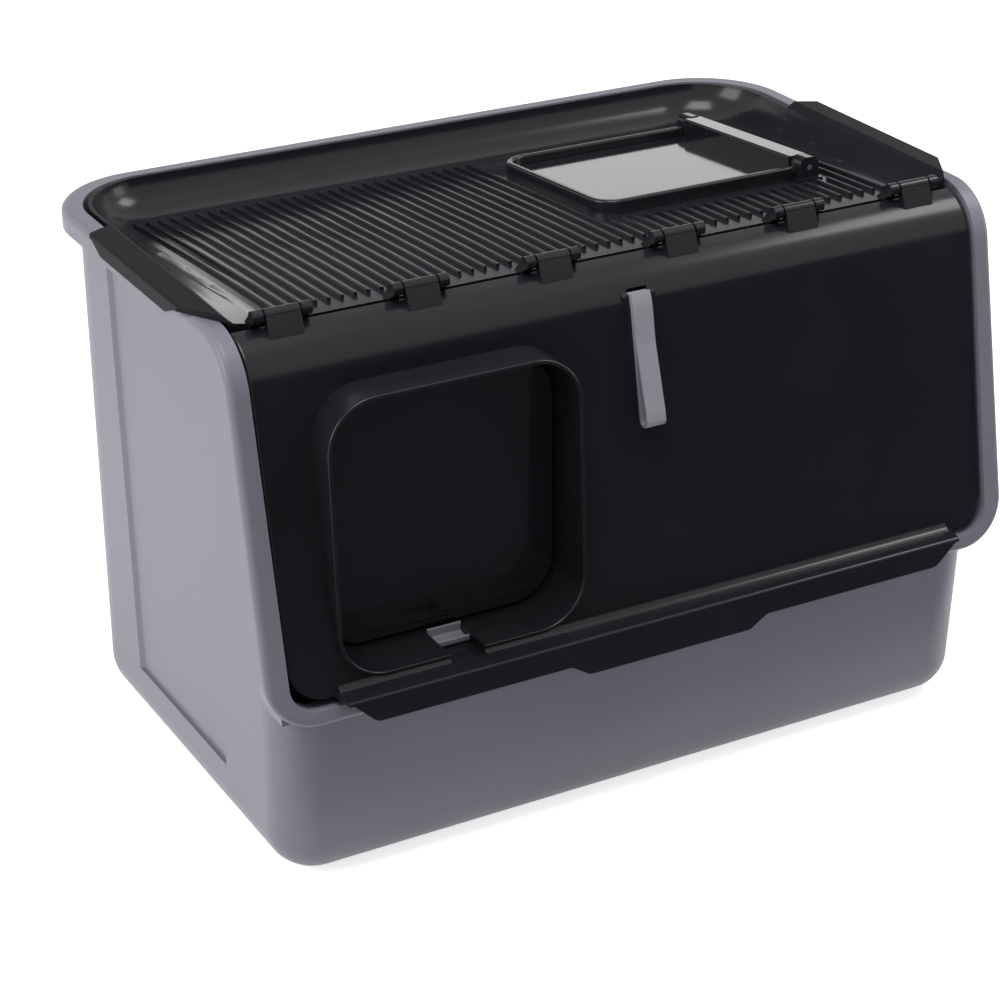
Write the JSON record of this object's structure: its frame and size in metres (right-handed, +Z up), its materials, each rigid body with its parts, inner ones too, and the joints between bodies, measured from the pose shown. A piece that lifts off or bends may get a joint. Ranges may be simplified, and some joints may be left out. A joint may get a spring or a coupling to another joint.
{
  "type": "covered litter box",
  "caption": "Covered litter box: open-fronted tub, lift-off ribbed top cover with a hinged hatch, and a lift-up front cover with an entry flap, latch and pull strap.",
  "frame": {"origin": "bottom centre of the overall box, on the surface it stands on", "axes": "+X to the right along the width, +Y to the back, +Z up; the entry faces -Y"},
  "size_m": [0.6, 0.4, 0.402],
  "materials": {
    "tub_plastic": "satin moulded polypropylene",
    "cover_plastic": "polished moulded polypropylene",
    "flap_plastic": "smoked polished sheet",
    "trim_plastic": "satin moulded plastic",
    "strap_rubber": "soft flexible strap",
    "pin_steel": "drawn wire"
  },
  "bodies": {
    "tub_body": {"tub": "tub_plastic", "rim_front": "tub_plastic", "rim_corner_left": "tub_plastic", "rim_corner_right": "tub_plastic", "rim_left": "tub_plastic", "rim_right": "tub_plastic"},
    "top_body": {"top_cover": "cover_plastic", "front_hinge_pins": "cover_plastic", "hatch_hinge_pin": "pin_steel", "hatch_post_front": "cover_plastic", "hatch_post_rear": "cover_plastic"},
    "front_body": {"front_cover": "cover_plastic", "flap_axle": "pin_steel", "strap_rod": "pin_steel"},
    "flap_body": {"entry_flap": "flap_plastic"},
    "latch_body": {"flap_latch": "trim_plastic"},
    "strap_body": {"pull_strap": "strap_rubber"},
    "hatch_body": {"hatch_door": "flap_plastic"}
  },
  "joints": [
    {"name": "top_cover_lift", "type": "slide", "parent": "tub_body", "child": "top_body", "axis": [0, 0, 1], "range_m": [0, 0.3]},
    {"name": "front_cover_hinge", "type": "hinge", "parent": "top_body", "child": "front_body", "pos_m": [0, -0.118, 0.3966], "axis": [-1, 0, 0], "range_deg": [0, 110]},
    {"name": "entry_flap_hinge", "type": "hinge", "parent": "front_body", "child": "flap_body", "pos_m": [-0.15022, -0.1405, 0.3425], "axis": [1, 0, 0], "range_deg": [0, 70]},
    {"name": "flap_latch_slide", "type": "slide", "parent": "front_body", "child": "latch_body", "axis": [0, 0, 1], "range_m": [0, 0.004]},
    {"name": "pull_strap_hinge", "type": "hinge", "parent": "front_body", "child": "strap_body", "pos_m": [0.0043, -0.13982, 0.3671], "axis": [-1, 0, 0], "range_deg": [0, 45]},
    {"name": "hatch_door_hinge", "type": "hinge", "parent": "top_body", "child": "hatch_body", "pos_m": [0.209, 0.04168, 0.38751], "axis": [0, 0.9966, -0.0818], "range_deg": [0, 100]}
  ]
}
